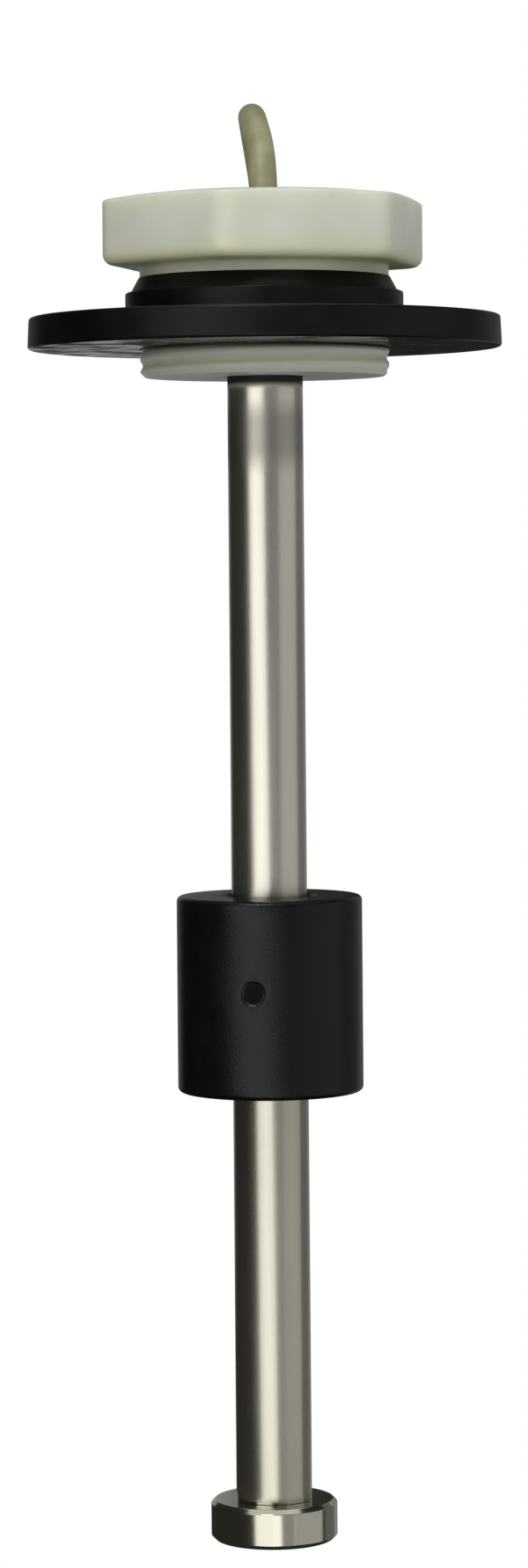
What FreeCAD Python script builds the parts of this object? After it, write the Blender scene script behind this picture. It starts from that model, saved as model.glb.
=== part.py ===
# Tank level sender: a float with magnets rides on a stainless stem and closes reed switches inside it.
# The origin is the centre of the sealing face under the rubber flange, on the stem's axis.
# +Z points up, out of the tank. The front faces -Y, and clock angles run from the front towards +X.
import FreeCAD
import Part
import math
import os

Vector = FreeCAD.Vector
ORIGIN = Vector(0, 0, 0)
UP = Vector(0, 0, 1)

# Clearances
FIT = 0.05                  # pieces that are pressed, screwed, bonded or laid together
FLOAT_PLAY = 0.75           # float bore to stem, on the radius
CABLE_PLAY = 0.25           # cable to its hole, on the radius

# Stem, from the sealing face down to the underside of the stop nut
STEM_OD = 12.7
STEM_WALL = 0.9
STEM_REACH = 200.0
STEM_GRIP = 15.75           # length of stem inside the head
PLUG_LENGTH = 6.95          # part of the end plug inside the stem
PLUG_RIM = 0.4              # rim of the end plug between stem and nut
STUD_SHOULDER = 0.35        # step from the stem's outside down to the threaded stud
STUD_CHAMFER = 0.8
NUT_WALL = 4.6              # from the stud's thread out to the rim
NUT_HEIGHT = 6.65
NUT_CHAMFER = 0.7
NUT_LEAD_IN = 0.6
SPANNER_HOLE_D = 2.2        # two blind holes under the nut, for a face spanner
SPANNER_HOLE_DEPTH = 2.5

# Head moulding
HEX_FLATS = 49.4
HEX_CORNER_R = 4.6
HEX_HEIGHT = 11.6
HEX_CLOCK = 46.0
HEX_EDGE_R = 1.8
CROWN_LAND = 3.0            # width of the sloping crown at the middle of a flat
CROWN_DROP = 0.35           # and its fall there
COLLAR_SHOW = 1.85          # collar seen between the rubber and the hexagon
THREAD_OD = 41.91
SPIGOT_DROP = 4.75          # spigot below the sealing face
SPIGOT_CHAMFER = 0.8
RELIEF_DEPTH = 1.5
RELIEF_WIDTH = 1.8          # thread relief, up from the sealing face
CHAMBER_HEIGHT = 10.0       # resin chamber over the stem
BORE_LEAD_IN = 0.6
SEAL_SECTION = 1.8
SEAL_DEPTH = 9.55           # seal ring above the spigot's end
GLAND_PLAY = 0.3

# Rubber flange
FLANGE_OD = 79.8
FLANGE_T = 5.3
FLANGE_DRAFT = 0.25
FLANGE_EDGE_R = 0.5
HUB_RISE = 4.1              # hub's step above the flange
LIP_HEIGHT = 2.5            # tapered lip above the step
HUB_WALL = 2.4
HUB_EDGE_R = 0.4
HUB_FILLET = 0.8
CONE_WALL = 1.5             # rubber at the foot of the lip
LIP_WALL = 0.15             # and at its upper edge

# Float
FLOAT_OD = 31.2
FLOAT_HEIGHT = 32.9
FLOAT_DEPTH = 108.4         # middle of the float below the sealing face, as it hangs here
FLOAT_EDGE_R = 0.8
FLOAT_BORE_CHAMFER = 1.0
MAGNET_COUNT = 3
MAGNET_CLOCK = -10.5
MAGNET_D = 3.0
MAGNET_WALL = 1.8           # foam between the bore and a magnet
MAGNET_RISE = 1.2           # pockets above the float's middle
PLUG_CAP_T = 1.4
PLUG_CAP_SUNK = 0.35        # cap below the float's surface

# Reed board inside the stem
BOARD_PLAY = 0.3            # board's edges to the stem's bore
BOARD_T = 1.2
BOARD_GAP = 1.0             # board's top edge below the stopper
STOPPER_T = 2.0
FOOT_FLOOR = 1.5
FOOT_SLOT = 1.5
REED_PITCH = 21.0
REED_D = 2.0
REED_LENGTH = 9.0
REED_TAPER = 0.7            # sealed end of a capsule, drawn in to its lead
REED_SIDE = 1.6             # reeds to the right of the board's middle
LEAD_T = 0.3                # leads are rolled flat and formed down to the board
LEAD_WIDTH = 0.7
LEAD_REACH = 1.2
CHIP_SIZE = (1.25, 0.6, 2.0)
CHIP_SIDE = -2.4
SOLDER_SPREAD = 0.4         # solder on the board, past the lead or core
SOLDER_TIP = 0.1
SOLDER_HEIGHT = 0.5

# Lead: a limp two-core cable, out through the crown, over the back and down behind the flange
CABLE_OD = 4.7
CORE_OD = 1.4
CORE_GAP = 0.3              # between the two cores
SHEATH_GAP = 0.15           # cores to the sheath's slightly tilted inner end
CORE_LAP = 5.0              # core laid along the board
TIP_D = 0.9
TIP_LENGTH = 6.0
CABLE_ROUTE = [
    Vector(0.2, 0.0, 18.0),
    Vector(-0.5, 0.0, 31.2),
    Vector(-2.0, 9.3, 40.8),
    Vector(-1.8, 32.0, 40.8),
    Vector(0.6, 45.5, 27.0),
    Vector(0.1, 47.6, -8.0),
    Vector(0.1, 48.6, -54.0),
    Vector(0.0, 48.4, -102.0),
    Vector(0.0, 47.2, -146.0),
]
TAIL_ROUTE = [(0.0, 0.0, 0.0), (0.0, 0.0, 8.0), (0.9, 0.3, 18.0), (1.2, -0.5, 28.0)]

# Levels and radii that follow from the sizes above
SPIGOT_END = -SPIGOT_DROP
HUB_STEP = FLANGE_T + HUB_RISE
HUB_TOP = HUB_STEP + LIP_HEIGHT
HEX_BOTTOM = HUB_TOP + COLLAR_SHOW
HEX_TOP = HEX_BOTTOM + HEX_HEIGHT
STEM_TOP = SPIGOT_END + STEM_GRIP
CHAMBER_TOP = STEM_TOP + CHAMBER_HEIGHT
NUT_BOTTOM = -STEM_REACH
NUT_TOP = NUT_BOTTOM + NUT_HEIGHT
STEM_BOTTOM = NUT_TOP + PLUG_RIM
PLUG_TOP = STEM_BOTTOM + PLUG_LENGTH
BOARD_TOP = STEM_TOP - STOPPER_T - BOARD_GAP
FOOT_TOP = PLUG_TOP + FIT + FOOT_FLOOR + FOOT_SLOT
BOARD_BOTTOM = FOOT_TOP - FOOT_SLOT
FLOAT_TOP = -FLOAT_DEPTH + FLOAT_HEIGHT / 2
FLOAT_BOTTOM = -FLOAT_DEPTH - FLOAT_HEIGHT / 2
STEM_R = STEM_OD / 2
STEM_BORE_R = STEM_R - STEM_WALL
STUD_R = STEM_R - STUD_SHOULDER
NUT_R = STUD_R + NUT_WALL
SPIGOT_R = THREAD_OD / 2
FLOAT_R = FLOAT_OD / 2
FLOAT_BORE_R = STEM_R + FLOAT_PLAY
CAP_FACE_R = FLOAT_R - PLUG_CAP_SUNK
CAP_BACK_R = CAP_FACE_R - PLUG_CAP_T
MAGNET_BACK_R = FLOAT_BORE_R + MAGNET_WALL
BOARD_FACE = -BOARD_T / 2
BOARD_WIDTH = 2 * math.sqrt((STEM_BORE_R - BOARD_PLAY) ** 2 - BOARD_FACE ** 2)
CORE_SPACING = CORE_OD + CORE_GAP
CORE_Y = BOARD_FACE - FIT - CORE_OD / 2
CORE_END = BOARD_TOP - CORE_LAP
REED_Y = BOARD_FACE - FIT - REED_D / 2
REED_FOOT = REED_LENGTH / 2 + LEAD_REACH
ARC_SHARE = 0.45


def clocked(radius, angle, z=0.0):
    """The point at a radius and a clock angle, in degrees from the front towards +X."""
    turn = math.radians(angle)
    return Vector(radius * math.sin(turn), -radius * math.cos(turn), z)


def rounded_wire(points, radii, closed=True):
    """A wire through corner points, with a tangent arc of its own radius at each corner."""
    bends = []
    for i, corner in enumerate(points):
        at_end = not closed and i in (0, len(points) - 1)
        if at_end or radii[i] == 0:
            bends.append((corner, corner, corner))
            continue
        back = (points[i - 1] - corner).normalize()
        ahead = (points[(i + 1) % len(points)] - corner).normalize()
        half = back.getAngle(ahead) / 2
        reach = radii[i] / math.tan(half)
        inward = (back + ahead).normalize()
        middle = corner + inward * (radii[i] / math.sin(half) - radii[i])
        bends.append((corner + back * reach, middle, corner + ahead * reach))
    edges = []
    for i, (start, middle, end) in enumerate(bends):
        if start.distanceToPoint(end) > 1e-6:
            edges.append(Part.Arc(start, middle, end).toShape())
        if closed or i + 1 < len(bends):
            following = bends[(i + 1) % len(bends)][0]
            edges.append(Part.LineSegment(end, following).toShape())
    return Part.Wire(edges)


def turned(corners):
    """A solid of revolution about Z, from its outline's corners as (radius, height, rounding)."""
    points = [Vector(radius, 0, z) for radius, z, rounding in corners]
    outline = rounded_wire(points, [rounding for radius, z, rounding in corners])
    return Part.Face(outline).revolve(ORIGIN, UP, 360)


def ring(inner, outer, bottom, top):
    """A plain ring or sleeve about Z."""
    return turned([(inner, bottom, 0), (outer, bottom, 0), (outer, top, 0), (inner, top, 0)])


def post(radius, bottom, top, x=0.0, y=0.0):
    """A plain upright cylinder."""
    return Part.makeCylinder(radius, top - bottom, Vector(x, y, bottom), UP)


def hexagon(flats, clock, rounding, bottom, height):
    """A hexagonal prism with one corner at the clock angle."""
    reach = flats / 2 / math.cos(math.pi / 6)
    points = [clocked(reach, clock - 60 * k, bottom) for k in range(6)]
    return Part.Face(rounded_wire(points, [rounding] * 6)).extrude(UP * height)


def arc_radii(points):
    """The arc at each inner point of a cord: as large as its two runs allow."""
    radii = [0.0]
    for before, corner, after in zip(points, points[1:], points[2:]):
        run = min(before.distanceToPoint(corner), corner.distanceToPoint(after))
        turn = (corner - before).getAngle(after - corner)
        radii.append(ARC_SHARE * run / math.tan(turn / 2))
    return radii + [0.0]


def cord(points, diameter):
    """A round cord along straight runs joined by tangent arcs."""
    path = rounded_wire(points, arc_radii(points), closed=False)
    circle = Part.Circle(points[0], points[1] - points[0], diameter / 2).toShape()
    tube = path.makePipeShell([Part.Wire(circle)], True, False)
    return Part.Solid(tube) if tube.ShapeType == "Shell" else tube


def core_sides():
    """The X place of each of the two cores under the cable's inner end."""
    return [CABLE_ROUTE[0].x + side * CORE_SPACING / 2 for side in (-1, 1)]


def head_plug():
    """Hexagon grip, collar and threaded spigot in one moulding, bored for the stem and the cable."""
    slope = CROWN_DROP / CROWN_LAND
    crown_r = HEX_FLATS / 2 - CROWN_LAND
    blank_r = HEX_FLATS
    grip = hexagon(HEX_FLATS, HEX_CLOCK, HEX_CORNER_R, HEX_BOTTOM, HEX_HEIGHT)
    lower = [edge for edge in grip.Edges if edge.BoundBox.ZMax < HEX_BOTTOM + FIT]
    grip = grip.makeFillet(HEX_EDGE_R, lower)
    crown = turned([
        (0, SPIGOT_END, 0),
        (blank_r, SPIGOT_END, 0),
        (blank_r, HEX_TOP - slope * (blank_r - crown_r), 0),
        (crown_r, HEX_TOP, 0),
        (0, HEX_TOP, 0),
    ])
    shank = turned([
        (0, SPIGOT_END, 0),
        (SPIGOT_R - SPIGOT_CHAMFER, SPIGOT_END, 0),
        (SPIGOT_R, SPIGOT_END + SPIGOT_CHAMFER, 0),
        (SPIGOT_R, 0, 0),
        (SPIGOT_R - RELIEF_DEPTH, 0, 0),
        (SPIGOT_R - RELIEF_DEPTH, RELIEF_WIDTH, 0),
        (SPIGOT_R, RELIEF_WIDTH, 0),
        (SPIGOT_R, HEX_BOTTOM + HEX_EDGE_R, 0),
        (0, HEX_BOTTOM + HEX_EDGE_R, 0),
    ])
    seal_z = SPIGOT_END + SEAL_DEPTH
    gland_half = SEAL_SECTION / 2 + GLAND_PLAY
    stem_hole_r = STEM_R + FIT
    bore = turned([
        (0, SPIGOT_END, 0),
        (stem_hole_r + BORE_LEAD_IN, SPIGOT_END, 0),
        (stem_hole_r, SPIGOT_END + BORE_LEAD_IN, 0),
        (stem_hole_r, seal_z - gland_half, 0),
        (STEM_R + SEAL_SECTION + FIT, seal_z - gland_half, 0),
        (STEM_R + SEAL_SECTION + FIT, seal_z + gland_half, 0),
        (stem_hole_r, seal_z + gland_half, 0),
        (stem_hole_r, STEM_TOP, 0),
        (STEM_BORE_R, STEM_TOP, 0),
        (STEM_BORE_R, CHAMBER_TOP, 0),
        (CABLE_OD / 2 + CABLE_PLAY, CHAMBER_TOP, 0),
        (CABLE_OD / 2 + CABLE_PLAY, HEX_TOP, 0),
        (0, HEX_TOP, 0),
    ])
    return grip.common(crown).fuse(shank).cut(bore).removeSplitter()


def stem_seal():
    """Seal ring in the head's gland, round the stem."""
    section = SEAL_SECTION / 2 - FIT
    return Part.makeTorus(STEM_R + SEAL_SECTION / 2, section, Vector(0, 0, SPIGOT_END + SEAL_DEPTH), UP)


def sealing_flange():
    """Wide rubber flange, with a stepped hub that tapers to a lip round the collar."""
    bore_r = SPIGOT_R + FIT
    rim_r = FLANGE_OD / 2
    hub_r = bore_r + HUB_WALL
    return turned([
        (bore_r, 0, 0),
        (rim_r, 0, FLANGE_EDGE_R),
        (rim_r - FLANGE_DRAFT, FLANGE_T, FLANGE_EDGE_R),
        (hub_r, FLANGE_T, HUB_FILLET),
        (hub_r, HUB_STEP, HUB_EDGE_R),
        (bore_r + CONE_WALL, HUB_STEP, 0),
        (bore_r + LIP_WALL, HUB_TOP, 0),
        (bore_r, HUB_TOP, 0),
    ])


def stem_tube():
    """Thin stainless tube from its seat in the head down to the end plug's rim."""
    return ring(STEM_BORE_R, STEM_R, STEM_BOTTOM, STEM_TOP)


def end_plug():
    """Turned plug that closes the stem, with a flush rim and the nut's stud below it."""
    stud_end = NUT_BOTTOM + STUD_SHOULDER
    return turned([
        (0, stud_end, 0),
        (STUD_R - STUD_CHAMFER, stud_end, 0),
        (STUD_R, stud_end + STUD_CHAMFER, 0),
        (STUD_R, NUT_TOP, 0),
        (STEM_R, NUT_TOP, 0),
        (STEM_R, STEM_BOTTOM, 0),
        (STEM_BORE_R - FIT, STEM_BOTTOM, 0),
        (STEM_BORE_R - FIT, PLUG_TOP, STUD_CHAMFER),
        (0, PLUG_TOP, 0),
    ])


def stop_nut():
    """Round nut with chamfered edges, and two blind holes under it for a face spanner."""
    bore_r = STUD_R + FIT
    inner_r = bore_r + NUT_LEAD_IN
    outer_r = NUT_R - NUT_CHAMFER
    body = turned([
        (inner_r, NUT_BOTTOM, 0),
        (outer_r, NUT_BOTTOM, 0),
        (NUT_R, NUT_BOTTOM + NUT_CHAMFER, 0),
        (NUT_R, NUT_TOP - NUT_CHAMFER, 0),
        (outer_r, NUT_TOP, 0),
        (bore_r, NUT_TOP, 0),
        (bore_r, NUT_BOTTOM + NUT_LEAD_IN, 0),
    ])
    hole_top = NUT_BOTTOM + SPANNER_HOLE_DEPTH
    middle_r = (inner_r + outer_r) / 2
    holes = [post(SPANNER_HOLE_D / 2, NUT_BOTTOM, hole_top, side * middle_r) for side in (-1, 1)]
    return body.cut(holes)


def magnet_angles():
    """Clock angles of the float's magnet pockets."""
    return [MAGNET_CLOCK + 360 * k / MAGNET_COUNT for k in range(MAGNET_COUNT)]


def radial_pins(radius, inner, outer):
    """One pin per magnet pocket, between two distances from the stem's axis."""
    pins = []
    for angle in magnet_angles():
        outward = clocked(1, angle)
        base = outward * inner + Vector(0, 0, MAGNET_RISE - FLOAT_DEPTH)
        pins.append(Part.makeCylinder(radius, outer - inner, base, outward))
    return pins


def float_body():
    """Foam cylinder with a chamfered bore and a row of radial magnet pockets round its waist."""
    mouth_r = FLOAT_BORE_R + FLOAT_BORE_CHAMFER
    body = turned([
        (mouth_r, FLOAT_BOTTOM, 0),
        (FLOAT_R, FLOAT_BOTTOM, FLOAT_EDGE_R),
        (FLOAT_R, FLOAT_TOP, FLOAT_EDGE_R),
        (mouth_r, FLOAT_TOP, 0),
        (FLOAT_BORE_R, FLOAT_TOP - FLOAT_BORE_CHAMFER, 0),
        (FLOAT_BORE_R, FLOAT_BOTTOM + FLOAT_BORE_CHAMFER, 0),
    ])
    return body.cut(radial_pins(MAGNET_D / 2 + FIT, MAGNET_BACK_R - FIT, FLOAT_OD))


def float_magnets():
    """Rod magnets at the bottom of the pockets."""
    return Part.makeCompound(radial_pins(MAGNET_D / 2, MAGNET_BACK_R, CAP_BACK_R - FIT))


def magnet_caps():
    """Rubber caps that close the pockets, a little below the surface."""
    return Part.makeCompound(radial_pins(MAGNET_D / 2, CAP_BACK_R, CAP_FACE_R))


def head_potting():
    """Resin in the chamber, round the cable's end and its cores."""
    fill = post(STEM_BORE_R - FIT, STEM_TOP + FIT, CHAMBER_TOP - FIT)
    holes = [post(CABLE_OD / 2 + CABLE_PLAY, CABLE_ROUTE[0].z - SHEATH_GAP, CHAMBER_TOP)]
    holes += [post(CORE_OD / 2 + FIT, STEM_TOP, CHAMBER_TOP, x, CORE_Y) for x in core_sides()]
    return fill.cut(holes)


def stem_stopper():
    """Stopper in the stem's mouth, with a hole for each core."""
    disc = post(STEM_BORE_R - FIT, STEM_TOP - STOPPER_T, STEM_TOP)
    holes = [post(CORE_OD / 2 + FIT, STEM_TOP - STOPPER_T, STEM_TOP, x, CORE_Y) for x in core_sides()]
    return disc.cut(holes)


def board_core(x):
    """One core of the cable, from the sheath's inner end down along the board."""
    return post(CORE_OD / 2, CORE_END, CABLE_ROUTE[0].z - SHEATH_GAP, x, CORE_Y)


def circuit_board():
    """Narrow board down the middle of the stem, its face to the front."""
    corner = Vector(-BOARD_WIDTH / 2, BOARD_FACE, BOARD_BOTTOM + FIT)
    return Part.makeBox(BOARD_WIDTH, BOARD_T, BOARD_TOP - BOARD_BOTTOM - FIT, corner)


def board_foot():
    """Insulating foot on the end plug, slotted for the board's lower edge."""
    disc = post(STEM_BORE_R - FIT, PLUG_TOP + FIT, FOOT_TOP)
    corner = Vector(-STEM_OD, BOARD_FACE - FIT, BOARD_BOTTOM)
    return disc.cut(Part.makeBox(2 * STEM_OD, BOARD_T + 2 * FIT, FOOT_SLOT, corner))


def reed_levels():
    """Heights of the reeds, over as much of the magnets' travel as the board has room for."""
    half = REED_FOOT + LEAD_T / 2 + SOLDER_SPREAD
    magnet_top = SPIGOT_END - FLOAT_HEIGHT / 2 + MAGNET_RISE
    magnet_bottom = NUT_TOP + FLOAT_HEIGHT / 2 + MAGNET_RISE
    highest = min(magnet_top, CORE_END - CORE_OD - 2 * SOLDER_SPREAD - half)
    lowest = max(magnet_bottom, FOOT_TOP + half)
    count = int((highest - lowest) / REED_PITCH) + 1
    first = (highest + lowest + (count - 1) * REED_PITCH) / 2
    return [first - k * REED_PITCH for k in range(count)]


def reed_switches():
    """Glass capsules with tapered ends, in a row down the board."""
    half = REED_LENGTH / 2
    capsule = turned([
        (0, -half, 0),
        (LEAD_WIDTH / 2, -half, 0),
        (REED_D / 2, -half + REED_TAPER, 0),
        (REED_D / 2, half - REED_TAPER, 0),
        (LEAD_WIDTH / 2, half, 0),
        (0, half, 0),
    ])
    return Part.makeCompound([capsule.translated(Vector(REED_SIDE, REED_Y, z)) for z in reed_levels()])


def formed_leads(level):
    """The two flat leads of one reed, each out from its capsule's end and down to the board."""
    left = REED_SIDE - LEAD_WIDTH / 2
    leads = []
    for end in (-1, 1):
        root = level + end * REED_LENGTH / 2
        outer = level + end * (REED_FOOT + LEAD_T / 2)
        inner = level + end * (REED_FOOT - LEAD_T / 2)
        outline = [
            Vector(left, REED_Y - LEAD_T / 2, root),
            Vector(left, REED_Y - LEAD_T / 2, outer),
            Vector(left, BOARD_FACE, outer),
            Vector(left, BOARD_FACE, inner),
            Vector(left, REED_Y + LEAD_T / 2, inner),
            Vector(left, REED_Y + LEAD_T / 2, root),
        ]
        face = Part.Face(rounded_wire(outline, [0] * len(outline)))
        leads.append(face.extrude(Vector(LEAD_WIDTH, 0, 0)))
    return leads


def reed_leads():
    """The flat leads of all the reeds."""
    return Part.makeCompound([lead for z in reed_levels() for lead in formed_leads(z)])


def solder_mound(x, z, width, length, height):
    """Solder on the board, drawn in from its spread to just outside a lead or core."""
    wires = []
    for spread, lift in ((SOLDER_SPREAD, 0), (SOLDER_TIP, height)):
        across = width / 2 + spread
        along = length / 2 + spread
        corners = [
            (x - across, z - along),
            (x + across, z - along),
            (x + across, z + along),
            (x - across, z + along),
        ]
        points = [Vector(cx, BOARD_FACE - lift, cz) for cx, cz in corners]
        wires.append(rounded_wire(points, [0] * 4))
    return Part.makeLoft(wires, True, True)


def solder_joints():
    """Solder round each lead's foot, and at the end of each core."""
    joints = []
    for level in reed_levels():
        leads = formed_leads(level)
        for end in (-1, 1):
            mound = solder_mound(REED_SIDE, level + end * REED_FOOT, LEAD_WIDTH, LEAD_T, SOLDER_HEIGHT)
            joints.append(mound.cut(leads))
    for x in core_sides():
        middle = CORE_END - FIT - SOLDER_SPREAD - CORE_OD / 2
        joints.append(solder_mound(x, middle, 0, CORE_OD, CORE_OD))
    return Part.makeCompound(joints)


def chip_resistors():
    """One chip of the resistor ladder beside each reed."""
    width, height, length = CHIP_SIZE
    chips = []
    for z in reed_levels():
        corner = Vector(CHIP_SIDE - width / 2, BOARD_FACE - height, z - length / 2)
        chips.append(Part.makeBox(width, height, length, corner))
    return Part.makeCompound(chips)


def cable_sheath():
    """The lead's round sheath along its whole route."""
    return cord(CABLE_ROUTE, CABLE_OD)


def tail_points(side):
    """The route of one core beyond the sheath's free end, spreading to its side."""
    end = CABLE_ROUTE[-1]
    along = (end - CABLE_ROUTE[-2]).normalize()
    base = end + Vector(side * CORE_SPACING / 2, 0, 0)
    return [base + Vector(side * out, back, 0) + along * reach for out, back, reach in TAIL_ROUTE]


def core_tips():
    """Bare tinned ends of the two cores."""
    tips = []
    for side in (-1, 1):
        before, end = tail_points(side)[-2:]
        tips.append(Part.makeCylinder(TIP_D / 2, TIP_LENGTH, end, end - before))
    return Part.makeCompound(tips)


left_core, right_core = core_sides()
nodes = {
    "head_plug": head_plug(),
    "stem_seal": stem_seal(),
    "sealing_flange": sealing_flange(),
    "stem_tube": stem_tube(),
    "end_plug": end_plug(),
    "stop_nut": stop_nut(),
    "float_body": float_body(),
    "float_magnets": float_magnets(),
    "magnet_caps": magnet_caps(),
    "head_potting": head_potting(),
    "stem_stopper": stem_stopper(),
    "board_core_ground": board_core(left_core),
    "board_core_signal": board_core(right_core),
    "circuit_board": circuit_board(),
    "board_foot": board_foot(),
    "reed_switches": reed_switches(),
    "reed_leads": reed_leads(),
    "solder_joints": solder_joints(),
    "chip_resistors": chip_resistors(),
    "cable_sheath": cable_sheath(),
    "cable_tail_ground": cord(tail_points(-1), CORE_OD),
    "cable_tail_signal": cord(tail_points(1), CORE_OD),
    "core_tips": core_tips(),
}
print("cable arc radii:", [round(radius, 1) for radius in arc_radii(CABLE_ROUTE)[1:-1]])
os.makedirs("parts", exist_ok=True)
for name, shape in nodes.items():
    shape.exportStep("parts/" + name + ".step")
    print(name, len(shape.Solids), "solids", shape.isValid(), round(shape.Volume, 2), "mm3")
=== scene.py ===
# Tank level sender. A float with magnets slides on a stainless stem and closes reed switches inside it.
# The origin is the centre of the sealing face under the rubber flange. The front faces -Y.
import math

import bmesh
import bpy
import numpy as np
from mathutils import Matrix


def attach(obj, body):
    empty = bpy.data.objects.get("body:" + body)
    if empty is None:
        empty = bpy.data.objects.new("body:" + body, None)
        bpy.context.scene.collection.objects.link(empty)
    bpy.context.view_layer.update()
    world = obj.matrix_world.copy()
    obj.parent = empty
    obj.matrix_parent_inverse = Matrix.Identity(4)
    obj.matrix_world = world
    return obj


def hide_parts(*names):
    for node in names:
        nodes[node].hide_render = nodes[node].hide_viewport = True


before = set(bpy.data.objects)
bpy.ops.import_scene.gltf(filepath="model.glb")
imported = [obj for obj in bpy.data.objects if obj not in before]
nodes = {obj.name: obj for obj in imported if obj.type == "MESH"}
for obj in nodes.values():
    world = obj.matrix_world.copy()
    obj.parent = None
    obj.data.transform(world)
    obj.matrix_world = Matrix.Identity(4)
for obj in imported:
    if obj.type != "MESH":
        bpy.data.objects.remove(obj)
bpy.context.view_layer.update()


# Head: one moulding in milky white nylon, with a crowned hexagon grip, a plain collar for the rubber and
# a short threaded spigot that screws into the tank's fitting. It is bored in steps for the stem, its seal
# ring, the resin and the cable. Sizes are in millimetres.
MM = 0.001
SAME_PLACE = 1e-8
SHARP_EDGE = math.radians(38)
SPIGOT_R = 20.955
SPIGOT_END = -4.75
SPIGOT_CHAMFER = 0.8
SPIGOT_PITCH = 2.309
SPIGOT_THREAD = 0.4
SPIGOT_THREAD_TOP = -0.05
SPIGOT_FACE_R = (12.0, 18.6)
THREAD_FLANK = 2.5
THREAD_LAND = 0.125
RELIEF_DEPTH = 1.5
RELIEF_TOP = 1.8
COLLAR_FILLET = 0.4
GRIP_UNDER_R = SPIGOT_R + 1.0
HEX_FLATS = 49.4
HEX_CORNER_R = 4.6
HEX_CLOCK = 46.0
HEX_BOTTOM = 13.75
HEX_TOP = 25.35
HEX_EDGE_R = 1.8
CROWN_R = 21.7
CROWN_SLOPE = 0.35 / 3.0
CROWN_EDGE_R = 0.55
TOP_FACE_R = CROWN_R - 0.5
CABLE_HOLE_R = 2.6
HOLE_EDGE_R = 0.4
CHAMBER_R = 5.45
CHAMBER_TOP = 21.0
STEM_TOP = 11.0
STEM_HOLE_R = 6.4
GLAND_R = 8.2
GLAND_TOP = 6.0
GLAND_BOTTOM = 3.6
BORE_LEAD_IN = 0.6
BESIDE = 0.02


def hexagon_radius(turn, flats, corner_r, clock):
    """Distance from the axis to a hexagon with rounded corners. On a flat it is half the flats over the
    cosine of the angle from the flat's middle, and round a corner the far crossing with the corner's own
    circle."""
    sector = np.pi / 3
    from_corner = (turn - math.radians(clock) + sector / 2) % sector - sector / 2
    from_flat = sector / 2 - np.abs(from_corner)
    centre = (flats / 2 - corner_r) / math.cos(sector / 2)
    tangent = math.atan((flats / 2 - corner_r) * math.tan(sector / 2) / (flats / 2))
    inside = np.maximum(corner_r ** 2 - (centre * np.sin(from_corner)) ** 2, 0)
    arc = centre * np.cos(from_corner) + np.sqrt(inside)
    return np.where(from_flat < tangent, flats / 2 / np.cos(from_flat), arc)


def thread_depth(z, turn, pitch, depth):
    """Depth below the crest of a right-hand thread with rounded lands: a smoothed triangle wave of the
    height, in pitches, less the turns made."""
    phase = z / pitch - turn / (2 * np.pi) + 0.5
    wave = np.clip(THREAD_FLANK * np.abs(phase - np.round(phase)) - THREAD_LAND, 0, 1)
    return depth * wave ** 2 * (3 - 2 * wave)


def run(first, last, count, margin=None):
    """Rows in even steps from the first value to the last. With a margin, the steps next to the two ends
    are only that share of the whole."""
    share = np.linspace(0, 1, count)
    if margin:
        share = np.hstack([0, np.linspace(margin, 1 - margin, count - 2), 1])
    return first + (last - first) * share[:, None]


def quarter_circle(count):
    """Sine and cosine of the rows round a quarter circle."""
    angle = run(0, np.pi / 2, count)
    return np.sin(angle), np.cos(angle)


def stacked(turn, bands):
    """Radius and height of all the rows, from bands of rows given one after the other, each as wide as the
    row of clock angles."""
    sizes = [np.broadcast_arrays(radius, height, turn) for radius, height in bands]
    return np.vstack([band[0] for band in sizes]), np.vstack([band[1] for band in sizes])


def skin(name, radius, height, turn):
    """A closed mesh from rows of points round the stem: a point is (r sin t, -r cos t, z) for its radius,
    clock angle and height in millimetres. Rows run up the outside and down the inside, and the last joins
    the first. Points that fall together, as on the axis, become one, and an edge that then has no face
    goes."""
    radius, height, turn = np.broadcast_arrays(radius, height, turn)
    points = np.stack([radius * np.sin(turn), -radius * np.cos(turn), height], axis=2) * MM
    index = np.arange(radius.size).reshape(radius.shape)
    ahead = np.roll(index, -1, axis=1)
    above = np.roll(index, -1, axis=0)
    quads = np.stack([index, ahead, np.roll(above, -1, axis=1), above], axis=2)
    mesh = bpy.data.meshes.new(name)
    mesh.from_pydata(points.reshape(-1, 3).tolist(), [], quads.reshape(-1, 4).tolist())
    shell = bmesh.new()
    shell.from_mesh(mesh)
    bmesh.ops.remove_doubles(shell, verts=shell.verts, dist=SAME_PLACE)
    bare = [edge for edge in shell.edges if edge.is_wire]
    bmesh.ops.delete(shell, geom=bare, context="EDGES")
    shell.to_mesh(mesh)
    shell.free()
    mesh.shade_smooth()
    mesh.set_sharp_from_angle(angle=SHARP_EDGE)
    piece = bpy.data.objects.new(name, mesh)
    bpy.context.scene.collection.objects.link(piece)
    return piece


fine_turn = np.linspace(0, 2 * np.pi, 420, endpoint=False)[None, :]


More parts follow.
